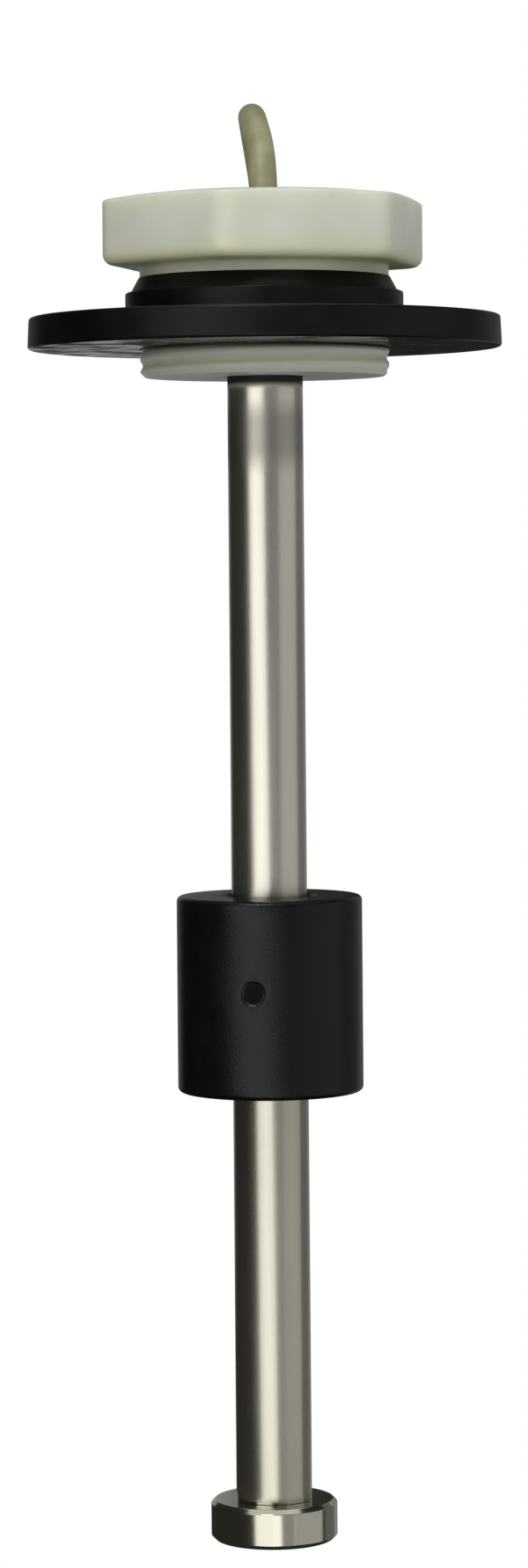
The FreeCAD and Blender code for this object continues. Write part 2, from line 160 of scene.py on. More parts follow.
def head_rows():
    """Radius and height of the head's rows: the thread, relief, collar, hexagon, crown and cable hole, then
    down the stepped bore and out over the underside. Edges are quarter circles, and the hexagon's upper
    edge falls away from the axis on the crown's cone, which gives each flat its arched top."""
    sine, cosine = quarter_circle(6)
    hexagon = hexagon_radius(fine_turn, HEX_FLATS, HEX_CORNER_R, HEX_CLOCK)
    thread_z = run(SPIGOT_END, SPIGOT_THREAD_TOP, 44)
    thread_r = SPIGOT_R - thread_depth(thread_z, fine_turn, SPIGOT_PITCH, SPIGOT_THREAD)
    thread_r = np.minimum(thread_r, SPIGOT_R - SPIGOT_CHAMFER + thread_z - SPIGOT_END)
    grip_low = HEX_BOTTOM + HEX_EDGE_R
    grip_high = HEX_TOP - CROWN_SLOPE * (hexagon - CROWN_R) - CROWN_EDGE_R
    crown_r = run(hexagon - CROWN_EDGE_R, CROWN_R, 8)
    bore = np.array([
        (CABLE_HOLE_R, CHAMBER_TOP),
        (CHAMBER_R, CHAMBER_TOP),
        (CHAMBER_R, STEM_TOP),
        (STEM_HOLE_R, STEM_TOP),
        (STEM_HOLE_R, GLAND_TOP),
        (GLAND_R, GLAND_TOP),
        (GLAND_R, GLAND_BOTTOM),
        (STEM_HOLE_R, GLAND_BOTTOM),
        (STEM_HOLE_R, SPIGOT_END + BORE_LEAD_IN),
        (STEM_HOLE_R + BORE_LEAD_IN, SPIGOT_END),
        (SPIGOT_FACE_R[0], SPIGOT_END),
        (SPIGOT_FACE_R[1], SPIGOT_END),
    ])
    return stacked(fine_turn, [
        (thread_r, thread_z),
        (SPIGOT_R - RELIEF_DEPTH, 0.0),
        (SPIGOT_R - RELIEF_DEPTH, RELIEF_TOP),
        (SPIGOT_R, RELIEF_TOP),
        (SPIGOT_R + COLLAR_FILLET * (1 - cosine), HEX_BOTTOM - COLLAR_FILLET * (1 - sine)),
        (run(GRIP_UNDER_R, hexagon - HEX_EDGE_R, 4), HEX_BOTTOM),
        (hexagon - HEX_EDGE_R * (1 - sine), HEX_BOTTOM + HEX_EDGE_R * (1 - cosine)),
        (hexagon, run(grip_low, grip_high, 8, BESIDE)),
        (hexagon - CROWN_EDGE_R * (1 - cosine),
         grip_high + CROWN_EDGE_R * (sine + CROWN_SLOPE * (1 - cosine))),
        (crown_r, HEX_TOP - CROWN_SLOPE * (crown_r - CROWN_R)),
        (run(TOP_FACE_R, CABLE_HOLE_R + HOLE_EDGE_R, 6), HEX_TOP),
        (CABLE_HOLE_R + HOLE_EDGE_R * (1 - sine), HEX_TOP - HOLE_EDGE_R * (1 - cosine)),
        (bore[:, :1], bore[:, 1:]),
    ])


class Tone:
    """A shader socket that takes part in Python sums. Each sum adds one Math node to the socket's tree."""

    def __init__(self, socket):
        self.socket = socket

    def node(self, kind, settings, inputs, output=0):
        """A node of any kind beside this socket: its settings first, then the value or link of each
        input."""
        tree = self.socket.id_data
        made = tree.nodes.new(kind)
        for key, value in settings.items():
            setattr(made, key, value)
        for key, value in inputs.items():
            if isinstance(value, Tone):
                tree.links.new(value.socket, made.inputs[key])
            else:
                made.inputs[key].default_value = value
        return Tone(made.outputs[output])

    def sum(self, operation, first, second):
        return self.node("ShaderNodeMath", {"operation": operation}, {0: first, 1: second})

    def __add__(self, other):
        return self.sum("ADD", self, other)

    def __radd__(self, other):
        return self.sum("ADD", other, self)

    def __sub__(self, other):
        return self.sum("SUBTRACT", self, other)

    def __rsub__(self, other):
        return self.sum("SUBTRACT", other, self)

    def __mul__(self, other):
        return self.sum("MULTIPLY", self, other)

    def __rmul__(self, other):
        return self.sum("MULTIPLY", other, self)

    def between(self, low, high):
        """0 below low, 1 above high, and a smooth rise between."""
        settings = {"interpolation_type": "SMOOTHSTEP"}
        return self.node("ShaderNodeMapRange", settings, {"Value": self, "From Min": low, "From Max": high})

    def height(self):
        """How far up the stem this place is, in metres."""
        return self.node("ShaderNodeSeparateXYZ", {}, {0: self}, 2)

    def above(self, low, high):
        """0 where this place is below one level of the stem and 1 above another, both in millimetres."""
        return self.height().between(low * MM, high * MM)

    def tint(self, first, second):
        """A colour that goes from the first to the second as this value goes from 0 to 1."""
        return self.node("ShaderNodeMix", {"data_type": "RGBA"}, {0: self, 6: first, 7: second}, 2)

    def grain(self, scale, detail=2.0, stretch=(1.0, 1.0, 1.0)):
        """Noise at this place, with so many lumps to a millimetre, drawn out along the axes that have a
        small stretch."""
        size = [scale / MM * part for part in stretch]
        place = self.node("ShaderNodeVectorMath", {"operation": "MULTIPLY"}, {0: self, 1: size})
        return self.node("ShaderNodeTexNoise", {}, {"Vector": place, "Scale": 1.0, "Detail": detail})

    def relief(self, distance):
        """A bumped normal from this height, whose full range stands so many millimetres high."""
        return self.node("ShaderNodeBump", {}, {"Height": self, "Strength": 1.0, "Distance": distance * MM})


def finish(name, constants):
    """A new material with these constant values on its shader, and its Object coordinates."""
    material = bpy.data.materials.new(name)
    material.use_nodes = True
    shader = material.node_tree.nodes["Principled BSDF"]
    for key, value in constants.items():
        shader.inputs[key].default_value = value
    coordinates = material.node_tree.nodes.new("ShaderNodeTexCoord")
    return material, Tone(coordinates.outputs["Object"])


def feed(material, varying):
    """Links what changes over the surface to the material's shader."""
    shader = material.node_tree.nodes["Principled BSDF"]
    for key, tone in varying.items():
        material.node_tree.links.new(tone.socket, shader.inputs[key])


def coat(piece, material):
    """Gives a piece this one material."""
    piece.data.materials.clear()
    piece.data.materials.append(material)


LOW_GLOW_FADE = (13.5, 18.5)
RUBBER_LINE = (4.0, 8.0)
FLANGE_SHADOW_EDGE = (-1.0, -0.1)
SPIGOT_SHADE_RISE = (-4.7, -3.0)
white_nylon, place = finish("white_nylon", {
    "Subsurface Weight": 0.8, "Subsurface Radius": (1.0, 0.95, 0.6), "Subsurface Scale": 0.006,
    "IOR": 1.5, "Specular IOR Level": 0.3})
cloud = place.grain(0.09, 3.0)
sink = place.grain(0.5, 2.0, (1.0, 1.0, 0.35))
milk = cloud.between(0.3, 0.75).tint((0.62, 0.64, 0.54, 1), (0.69, 0.71, 0.62, 1))
# Painted glow: the collar and the lower grip are tinted warmer and lighter, as if lit through the nylon in
# the shade under the grip.
milk_and_low_glow = place.above(*LOW_GLOW_FADE).tint((0.66, 0.66, 0.465, 1), milk)
# Painted shade: the spigot darkens towards its end face and underside.
spigot_shading = place.above(*SPIGOT_SHADE_RISE).tint((0.52, 0.525, 0.47, 1), (0.68, 0.68, 0.585, 1))
# Painted shadow: a dark brown band round the spigot's top, just under the rubber flange.
spigot_with_shadow = place.above(*FLANGE_SHADOW_EDGE).tint(spigot_shading, (0.10, 0.085, 0.06, 1))
feed(white_nylon, {
    "Base Color": place.above(*RUBBER_LINE).tint(spigot_with_shadow, milk_and_low_glow),
    "Roughness": 0.28 + 0.16 * sink,
    "Normal": (0.7 * sink + 0.3 * place.grain(5.0)).relief(0.035),
})
head = skin("head_moulding", *head_rows(), fine_turn)
coat(head, white_nylon)
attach(head, "sender")
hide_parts("head_plug")


# Seal ring: a moulded nitrile ring, pressed into its gland in the head's bore. It grips the stem and keeps
# the tank's liquid out of the head.
seal_nitrile, place = finish("seal_nitrile", {"Base Color": (0.012, 0.012, 0.013, 1)})
feed(seal_nitrile, {
    "Roughness": 0.42 + 0.2 * place.grain(1.5),
    "Normal": place.grain(4.0).relief(0.01),
})
coat(nodes["stem_seal"], seal_nitrile)


# Sealing flange: black rubber, moulded in one piece and pushed up over the spigot. The wide flange seals on
# the tank, with a dusty bloom on its underside, and the stepped hub above it tapers to a thin lip that
# grips the collar.
FLANGE_R = 39.9
FLANGE_T = 5.3
FLANGE_DRAFT = 0.25
FLANGE_EDGE_R = 0.6
FLANGE_MIDDLE_R = 30.0
FLANGE_BORE_R = 21.005
BORE_EDGE_R = 0.1
HUB_R = 23.405
HUB_STEP = 9.4
HUB_FILLET = 0.9
HUB_EDGE_R = 0.5
CONE_R = 22.505
CONE_FILLET = 0.2
LIP_R = 21.155
LIP_TOP = 11.9
CRISP_R = 0.05
LONGEST_REACH = 0.46


def rounded_profile(corners, count):
    """Radius and height of the rows round a closed outline with rounded corners. Each corner's rows lie on
    a Bezier arc from its tangent point before, pulled to the corner, to its tangent point after: the share
    (1-s)^2 of the first, 2s(1-s) of the corner and s^2 of the last. One more row stands close beside each
    end of the arc, so that the straight runs keep their own shading."""
    corners = np.array(corners)
    points = corners[:, :2]
    back = np.roll(points, 1, axis=0) - points
    ahead = np.roll(points, -1, axis=0) - points
    back_length = np.linalg.norm(back, axis=1, keepdims=True)
    ahead_length = np.linalg.norm(ahead, axis=1, keepdims=True)
    half = np.arccos((back * ahead).sum(1, keepdims=True) / back_length / ahead_length) / 2
    shorter = np.minimum(back_length, ahead_length)
    reach = np.minimum(corners[:, 2:] / np.tan(half), LONGEST_REACH * shorter)
    beside = reach + BESIDE * shorter
    first = points + back / back_length * reach
    last = points + ahead / ahead_length * reach
    s = np.linspace(0, 1, count)[None, :, None]
    arc = (1 - s) ** 2 * first[:, None] + 2 * s * (1 - s) * points[:, None] + s ** 2 * last[:, None]
    before = (points + back / back_length * beside)[:, None]
    after = (points + ahead / ahead_length * beside)[:, None]
    rows = np.concatenate([before, arc, after], axis=1).reshape(-1, 2)
    return rows[:, :1], rows[:, 1:]


even_turn = np.linspace(0, 2 * np.pi, 240, endpoint=False)[None, :]
flange_radius, flange_height = rounded_profile([
    (FLANGE_BORE_R, 0, BORE_EDGE_R),
    (FLANGE_MIDDLE_R, 0, CRISP_R),
    (FLANGE_R, 0, FLANGE_EDGE_R),
    (FLANGE_R - FLANGE_DRAFT, FLANGE_T, FLANGE_EDGE_R),
    (FLANGE_MIDDLE_R, FLANGE_T, CRISP_R),
    (HUB_R, FLANGE_T, HUB_FILLET),
    (HUB_R, HUB_STEP, HUB_EDGE_R),
    (CONE_R, HUB_STEP, CONE_FILLET),
    (LIP_R, LIP_TOP, CRISP_R),
    (FLANGE_BORE_R, LIP_TOP, CRISP_R),
], 6)
UNDERSIDE = (0.0, 0.3)
flange_rubber, place = finish("flange_rubber", {"IOR": 1.48, "Specular IOR Level": 0.22})
bloom = place.grain(0.12, 4.0)
skin_grain = place.grain(3.0, 3.0)
under = 1.0 - place.above(*UNDERSIDE)
dusty = under * place.grain(0.13, 3.0).between(0.42, 0.66)
black = bloom.between(0.4, 0.8).tint((0.0025, 0.0025, 0.0025, 1), (0.006, 0.006, 0.0055, 1))
feed(flange_rubber, {
    "Base Color": dusty.tint(black, (0.016, 0.0135, 0.011, 1)),
    "Roughness": 0.3 + 0.2 * bloom - 0.26 * under + 0.33 * dusty,
    "Normal": (0.6 * skin_grain + 0.4 * bloom).relief(0.02),
})
flange = skin("rubber_flange", flange_radius, flange_height, even_turn)
coat(flange, flange_rubber)
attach(flange, "sender")
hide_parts("sealing_flange")


# Stem: a thin drawn stainless tube, polished along its length and pushed up to its seat in the head. A
# near-black band of painted shade and painted reflection rings it where it enters, with a darker, duller
# ring just below, and it is duller where it hangs in the liquid.
STEM_R = 6.35
STEM_BORE_R = 5.45
STEM_BOTTOM = -192.95
STEM_MIDDLE = -100.0
STEM_EDGE_R = 0.15
WELD_EDGE_R = 0.04
stem_radius, stem_height = rounded_profile([
    (STEM_BORE_R, STEM_BOTTOM, CRISP_R),
    (STEM_R, STEM_BOTTOM, WELD_EDGE_R),
    (STEM_R, STEM_MIDDLE, CRISP_R),
    (STEM_R, STEM_TOP, STEM_EDGE_R),
    (STEM_BORE_R, STEM_TOP, CRISP_R),
], 4)
SHADE_BAND_EDGE = (-7.0, -5.6)
DULL_RING_TOP = (-12.5, -7.8)
DULL_RING_FOOT = (-22.2, -16.5)
LIQUID_EDGE = (-135.0, -95.0)
polished_steel, place = finish("polished_steel", {})
# Painted shade and painted reflection: a near-black, matte band round the stem's top, just under the spigot.
shade_band = place.above(*SHADE_BAND_EDGE)
# A darker, duller ring on the stem just below the band.
dull_ring = place.above(*DULL_RING_FOOT) * (1.0 - place.above(*DULL_RING_TOP))
draw_lines = place.grain(2.2, 2.0, (1.0, 1.0, 0.012))
handling = place.grain(0.05, 3.0, (1.0, 1.0, 0.4))
shine = handling.between(0.3, 0.7)
bright = shine.tint((0.65, 0.625, 0.54, 1), (0.73, 0.705, 0.61, 1))
dulled = shine.tint((0.54, 0.52, 0.43, 1), (0.62, 0.60, 0.50, 1))
dull_ring_tint = shine.tint((0.41, 0.395, 0.34, 1), (0.47, 0.455, 0.395, 1))
clean = place.above(*LIQUID_EDGE).tint(dulled, bright)
feed(polished_steel, {
    "Base Color": shade_band.tint(dull_ring.tint(clean, dull_ring_tint), (0.004, 0.005, 0.007, 1)),
    "Metallic": 1.0 - shade_band,
    "Roughness": 0.20 + 0.10 * draw_lines + 0.06 * handling + 0.1 * dull_ring + 0.4 * shade_band,
    "Normal": draw_lines.relief(0.004),
})
stem = skin("stem", stem_radius, stem_height, even_turn)
coat(stem, polished_steel)
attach(stem, "sender")
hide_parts("stem_tube")


# End plug: a turned stainless plug that closes the stem, welded in flush with it, and drawn down below the
# weld to a fine-threaded stud for the stop nut.
PLUG_TOP = -186.0
PLUG_FIT = 0.05
PLUG_NOSE = 0.6
NOSE_DROP = 0.1
RIM_CHAMFER = 0.1
WELD_CHAMFER = 0.03
NUT_TOP = -193.35
NUT_BOTTOM = -200.0
NUT_PITCH = 1.25
NUT_THREAD = 0.6
STUD_R = 6.0
STUD_END = -199.65
STUD_CHAMFER = 0.8
STUD_FACE_R = 3.0


def stud_rows():
    """Radius and height of the plug's rows: the threaded stud over its end chamfer, the rim that stands
    between stem and nut, the plain part inside the stem, and in to the axis at both ends."""
    thread_z = run(STUD_END, NUT_TOP - RIM_CHAMFER, 60)
    thread_r = STUD_R - thread_depth(thread_z, even_turn, NUT_PITCH, NUT_THREAD)
    thread_r = np.minimum(thread_r, STUD_R - STUD_CHAMFER + thread_z - STUD_END)
    plain = np.array([
        (STEM_R - RIM_CHAMFER, NUT_TOP),
        (STEM_R, NUT_TOP + RIM_CHAMFER),
        (STEM_R, STEM_BOTTOM - WELD_CHAMFER),
        (STEM_R - WELD_CHAMFER, STEM_BOTTOM),
        (STEM_BORE_R - PLUG_FIT, STEM_BOTTOM),
        (STEM_BORE_R - PLUG_FIT, PLUG_TOP - STUD_CHAMFER),
        (STEM_BORE_R - PLUG_NOSE, PLUG_TOP - NOSE_DROP),
        (0.0, PLUG_TOP),
        (0.0, STUD_END),
        (STUD_FACE_R, STUD_END),
    ])
    return stacked(even_turn, [(thread_r, thread_z), (plain[:, :1], plain[:, 1:])])


TOOL_LINES = 9000.0
turned_steel, place = finish("turned_steel", {"Metallic": 1.0})
across = place.node("ShaderNodeVectorMath", {"operation": "MULTIPLY"}, {0: place, 1: (1.0, 1.0, 0.0)})
from_axis = across.node("ShaderNodeVectorMath", {"operation": "LENGTH"}, {0: across}, 1)
tool_path = (place.height() + from_axis) * TOOL_LINES
rings = tool_path.node("ShaderNodeTexNoise", {"noise_dimensions": "1D"}, {"W": tool_path, "Scale": 1.0})
feed(turned_steel, {
    "Base Color": rings.tint((0.52, 0.51, 0.415, 1), (0.60, 0.59, 0.485, 1)),
    "Roughness": 0.11 + 0.08 * rings,
    "Normal": rings.relief(0.0015),
})
plug = skin("threaded_plug", *stud_rows(), even_turn)
coat(plug, turned_steel)
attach(plug, "sender")
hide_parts("end_plug")


# Stop nut: a round stainless nut with chamfered edges, threaded up the stud to the stem's rim, that keeps
# the float on the stem. Two blind holes under it take a face spanner.
NUT_R = 10.6
NUT_CHAMFER = 0.7
NUT_EDGE_R = 0.15
NUT_EDGE_ROWS = 4
NUT_BORE_R = 6.05
NUT_LEAD_IN = 0.6
NUT_TOP_MOUTH_R = NUT_BORE_R + 0.1
BORE_MARGIN = 0.05
SPANNER_CLOCKS = (90.0, -90.0)
SPANNER_HOLE_R = 1.1
SPANNER_HOLE_DEPTH = 2.5
SPANNER_HOLE_SLOPE = 0.06
SPANNER_RING_R = 8.275
SPANNER_REACH = 1.25
SPANNER_SPREAD = 9.0


def crowded(clocks, spread):
    """Clock angles all round the stem that crowd within a spread, in degrees, of each given clock, and the
    angle of each from its nearest one. Both are in radians, in one row."""
    far = 180 / len(clocks)
    half = np.radians(np.hstack([np.linspace(0, spread, 26), np.linspace(spread, far, 30)[1:]]))
    sector = np.hstack([-half[-2:0:-1], half])
    turn = (np.radians(clocks)[:, None] + sector).reshape(1, -1)
    return turn, np.tile(sector, len(clocks))[None, :]


def nut_rows():
    """Radius, height and clock angle of the nut's rows: out over the underside, where the height jumps by a
    hole's depth inside each spanner hole, up the wall between its chamfers, in over the top and down the
    threaded bore. The outline's first corner is the bore's mouth, which the underside's rows already
    have."""
    turn, off_clock = crowded(SPANNER_CLOCKS, SPANNER_SPREAD)
    face_r = NUT_R - NUT_CHAMFER
    mouth_r = NUT_BORE_R + NUT_LEAD_IN
    hole_r = run(SPANNER_RING_R - SPANNER_REACH, SPANNER_RING_R + SPANNER_REACH, 36)
    under_r = np.vstack([[mouth_r], hole_r])
    distance = np.hypot(under_r * np.cos(off_clock) - SPANNER_RING_R, under_r * np.sin(off_clock))
    inside = np.clip((SPANNER_HOLE_R - distance) / SPANNER_HOLE_SLOPE + 0.5, 0, 1)
    edge_r, edge_z = rounded_profile([
        (mouth_r, NUT_BOTTOM, CRISP_R),
        (face_r, NUT_BOTTOM, NUT_EDGE_R),
        (NUT_R, NUT_BOTTOM + NUT_CHAMFER, NUT_EDGE_R),
        (NUT_R, NUT_TOP - NUT_CHAMFER, NUT_EDGE_R),
        (face_r, NUT_TOP, NUT_EDGE_R),
        (NUT_TOP_MOUTH_R, NUT_TOP, CRISP_R),
    ], NUT_EDGE_ROWS)
    first_corner = NUT_EDGE_ROWS + 2
    bore_z = run(NUT_TOP - BORE_MARGIN, NUT_BOTTOM + BORE_MARGIN, 60)
    bore_r = NUT_BORE_R - thread_depth(bore_z, turn, NUT_PITCH, NUT_THREAD)
    radius, height = stacked(turn, [
        (under_r, NUT_BOTTOM + SPANNER_HOLE_DEPTH * inside),
        (edge_r[first_corner:], edge_z[first_corner:]),
        (np.maximum(bore_r, mouth_r - (bore_z - NUT_BOTTOM)), bore_z),
    ])
    return radius, height, turn


nut = skin("round_nut", *nut_rows())
coat(nut, turned_steel)
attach(nut, "sender")
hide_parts("stop_nut")


# Float: a black closed-cell foam cylinder with a moulded skin, loose on the stem. Three radial pockets
# round it hold the magnets.
FLOAT_R = 15.6
FLOAT_BORE_R = 7.1
FLOAT_TOP = -91.95
FLOAT_BOTTOM = -124.85
FLOAT_EDGE_R = 0.9
FLOAT_BORE_CHAMFER = 1.0
FLOAT_FACE_R = FLOAT_R - 2.0
MAGNET_COUNT = 3
MAGNET_CLOCK = -10.5
POCKET_LEVEL = -107.2
POCKET_R = 1.56
POCKET_DEPTH = 6.7
POCKET_SLOPE = 0.1
POCKET_LIP = 0.3
POCKET_SOFT = 0.5
POCKET_REACH = 2.2
POCKET_SPREAD = 8.0


def float_rows():
    """Radius, height and clock angle of the float's rows: up the outside, over the rounded edge, in to the
    bore's chamfer, down the bore and out again. Rows and columns crowd round the pockets, where the radius
    drops by the pocket's depth inside its circle, with a softly rounded lip."""
    turn, off_clock = crowded(MAGNET_CLOCK + 360 / MAGNET_COUNT * np.arange(MAGNET_COUNT), POCKET_SPREAD)
    sine, cosine = quarter_circle(7)
    wall_low = FLOAT_BOTTOM + FLOAT_EDGE_R
    wall_high = FLOAT_TOP - FLOAT_EDGE_R
    pocket_low = POCKET_LEVEL - POCKET_REACH
    pocket_high = POCKET_LEVEL + POCKET_REACH
    wall_z = np.vstack([
        run(wall_low, pocket_low, 10)[:-1],
        run(pocket_low, pocket_high, 56),
        run(pocket_high, wall_high, 10)[1:],
    ])
    distance = np.hypot(FLOAT_R * off_clock, wall_z - POCKET_LEVEL)
    drop = POCKET_DEPTH * np.clip((POCKET_R - distance) / POCKET_SLOPE, 0, 1)
    lip = POCKET_LIP * np.exp(-((distance - POCKET_R).clip(0) / POCKET_SOFT) ** 2)
    mouth_r = FLOAT_BORE_R + FLOAT_BORE_CHAMFER
    radius, height = stacked(turn, [
        (FLOAT_R - FLOAT_EDGE_R * (1 - sine), FLOAT_BOTTOM + FLOAT_EDGE_R * (1 - cosine)),
        (FLOAT_R - np.maximum(drop, lip), wall_z),
        (FLOAT_R - FLOAT_EDGE_R * (1 - cosine), wall_high + FLOAT_EDGE_R * sine),
        (run(FLOAT_FACE_R, mouth_r, 4), FLOAT_TOP),
        (FLOAT_BORE_R, FLOAT_TOP - FLOAT_BORE_CHAMFER),
        (FLOAT_BORE_R, FLOAT_BOTTOM + FLOAT_BORE_CHAMFER),
        (run(mouth_r, FLOAT_FACE_R, 4), FLOAT_BOTTOM),
    ])
    return radius, height, turn


FOAM_CELLS = 2600.0
float_foam, place = finish("float_foam", {"IOR": 1.45, "Specular IOR Level": 0.35})
cells = place.node("ShaderNodeTexVoronoi", {"feature": "F1"}, {"Vector": place, "Scale": FOAM_CELLS})
scuffs = place.grain(0.16, 4.0, (1.0, 1.0, 0.5))
feed(float_foam, {
    "Base Color": scuffs.between(0.35, 0.8).tint((0.003, 0.003, 0.0025, 1), (0.007, 0.007, 0.0055, 1)),
    "Roughness": 0.26 + 0.16 * scuffs,
    "Normal": (0.6 * cells + 0.4 * scuffs).relief(0.03),
})
float_piece = skin("foam_float", *float_rows())
coat(float_piece, float_foam)
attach(float_piece, "float")
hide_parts("float_body")


# Magnets: nickel-plated rods at the bottom of the float's pockets, which close each reed that they pass. A
# rubber cap shuts each of them in, pressed in just below the float's skin.
def two_shade(name, constants, grain, shades, gloss, relief=None):
    """A finish that drifts between two shades with one grain. Its roughness is the first gloss value plus
    the second times the grain, and the grain may stand up as a relief in millimetres."""
    material, place = finish(name, constants)
    drift = place.grain(*grain)
    varying = {"Base Color": drift.tint(*shades), "Roughness": gloss[0] + gloss[1] * drift}
    if relief:
        varying["Normal"] = drift.relief(relief)
    feed(material, varying)
    return material


magnet_nickel = two_shade("magnet_nickel", {"Metallic": 1.0}, grain=(1.2, 3.0), gloss=(0.16, 0.12),
                          shades=((0.58, 0.56, 0.52, 1), (0.66, 0.64, 0.60, 1)))
cap_rubber = two_shade("cap_rubber", {"Specular IOR Level": 0.1}, grain=(1.0, 3.0), gloss=(0.5, 0.2),
                       shades=((0.002, 0.002, 0.002, 1), (0.005, 0.005, 0.004, 1)), relief=0.03)
coat(nodes["float_magnets"], magnet_nickel)
coat(nodes["magnet_caps"], cap_rubber)


# Inside the head: dark amber resin, cast round the cable's end, over a silicone stopper in the stem's mouth
# that keeps it out of the tube. A foot of the same silicone seats the board at the stem's lower end.
potting_resin = two_shade("potting_resin", {"Coat Weight": 0.3}, grain=(0.4, 4.0), gloss=(0.2, 0.15),
                          shades=((0.030, 0.022, 0.014, 1), (0.060, 0.046, 0.030, 1)))
soft_silicone = two_shade("soft_silicone", {}, grain=(0.8, 3.0), gloss=(0.45, 0.15),
                          shades=((0.36, 0.10, 0.06, 1), (0.42, 0.13, 0.08, 1)), relief=0.02)
coat(nodes["head_potting"], potting_resin)
coat(nodes["stem_stopper"], soft_silicone)
coat(nodes["board_foot"], soft_silicone)


# Reed board: a narrow green glass-cloth laminate down the middle of the stem. Glass reed capsules with
# formed flat leads are soldered along it, with one chip of the resistor ladder beside each.
CLOTH_THREADS = 320.0
board_laminate, place = finish("board_laminate", {})
warp = place.node("ShaderNodeTexWave", {"bands_direction": "X"}, {"Vector": place, "Scale": CLOTH_THREADS})
weft = place.node("ShaderNodeTexWave", {"bands_direction": "Z"}, {"Vector": place, "Scale": CLOTH_THREADS})
weave = warp * weft
feed(board_laminate, {
    "Base Color": weave.tint((0.010, 0.075, 0.030, 1), (0.018, 0.110, 0.045, 1)),
    "Roughness": 0.3 + 0.15 * weave,
    "Normal": weave.relief(0.01),
})
reed_glass = two_shade("reed_glass", {"Coat Weight": 1.0, "Coat Roughness": 0.03},
                       grain=(0.6, 2.0, (1.0, 1.0, 0.3)), gloss=(0.05, 0.06),
                       shades=((0.16, 0.30, 0.20, 1), (0.22, 0.38, 0.27, 1)))
lead_alloy = two_shade("lead_alloy", {"Metallic": 1.0},
                       grain=(3.0, 2.0, (1.0, 1.0, 0.05)), gloss=(0.25, 0.15),
                       shades=((0.55, 0.54, 0.50, 1), (0.66, 0.65, 0.61, 1)))
solder_tin = two_shade("solder_tin", {"Metallic": 1.0}, grain=(4.0, 3.0), gloss=(0.18, 0.2),
                       shades=((0.60, 0.60, 0.60, 1), (0.74, 0.74, 0.73, 1)), relief=0.02)
chip_ceramic = two_shade("chip_ceramic", {}, grain=(6.0, 2.0), gloss=(0.35, 0.2),
                         shades=((0.020, 0.020, 0.022, 1), (0.045, 0.045, 0.048, 1)))
coat(nodes["circuit_board"], board_laminate)
coat(nodes["reed_switches"], reed_glass)
coat(nodes["reed_leads"], lead_alloy)
coat(nodes["solder_joints"], solder_tin)
coat(nodes["chip_resistors"], chip_ceramic)


# Cable: a limp two-core lead in an olive grey vinyl sheath. It leaves through the crown, bends over the back
# of the head and hangs down behind the stem, where its two cores are split and their ends tinned.
CABLE_R = 2.35
CABLE_ROUTE = (
    (0.0, -0.25, 18.0), (0.3, 0.0, 31.2), (-2.0, 9.3, 40.8), (-1.8, 32.0, 40.8), (0.6, 45.5, 27.0),
    (0.1, 47.6, -8.0), (0.1, 48.6, -54.0), (0.0, 48.4, -102.0), (0.0, 47.2, -146.0))
curve = bpy.data.curves.new("cable", "CURVE")
curve.dimensions = "3D"
curve.bevel_depth = CABLE_R * MM
curve.bevel_resolution = 8
curve.resolution_u = 24
curve.use_fill_caps = True
route = curve.splines.new("NURBS")
route.points.add(len(CABLE_ROUTE) - 1)
homogeneous = np.hstack([np.array(CABLE_ROUTE) * MM, np.ones((len(CABLE_ROUTE), 1))])
route.points.foreach_set("co", homogeneous.ravel())
route.order_u = 3
route.use_endpoint_u = True
cable = bpy.data.objects.new("cable", curve)
bpy.context.scene.collection.objects.link(cable)
sheath_vinyl, place = finish("sheath_vinyl", {"IOR": 1.5})
mottle = place.grain(0.25, 4.0)
pores = place.grain(4.0, 2.0)
feed(sheath_vinyl, {
    "Base Color": mottle.between(0.3, 0.75).tint((0.29, 0.28, 0.152, 1), (0.38, 0.37, 0.207, 1)),
    "Roughness": 0.34 + 0.2 * mottle,
    "Normal": (0.7 * mottle + 0.3 * pores).relief(0.05),
})
coat(cable, sheath_vinyl)
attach(cable, "sender")
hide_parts("cable_sheath")
core_black = two_shade("core_black", {"IOR": 1.5}, grain=(0.9, 3.0), gloss=(0.36, 0.2),
                       shades=((0.010, 0.010, 0.011, 1), (0.022, 0.022, 0.023, 1)), relief=0.02)
core_pink = two_shade("core_pink", {"IOR": 1.5}, grain=(0.9, 3.0), gloss=(0.36, 0.2),
                      shades=((0.62, 0.20, 0.24, 1), (0.72, 0.27, 0.31, 1)), relief=0.02)
tinned_copper = two_shade("tinned_copper", {"Metallic": 1.0},
                          grain=(2.5, 2.0, (1.0, 1.0, 0.25)), gloss=(0.22, 0.2),
                          shades=((0.60, 0.58, 0.55, 1), (0.74, 0.73, 0.71, 1)), relief=0.05)
coat(nodes["board_core_ground"], core_black)
coat(nodes["cable_tail_ground"], core_black)
coat(nodes["board_core_signal"], core_pink)
coat(nodes["cable_tail_signal"], core_pink)
coat(nodes["core_tips"], tinned_copper)


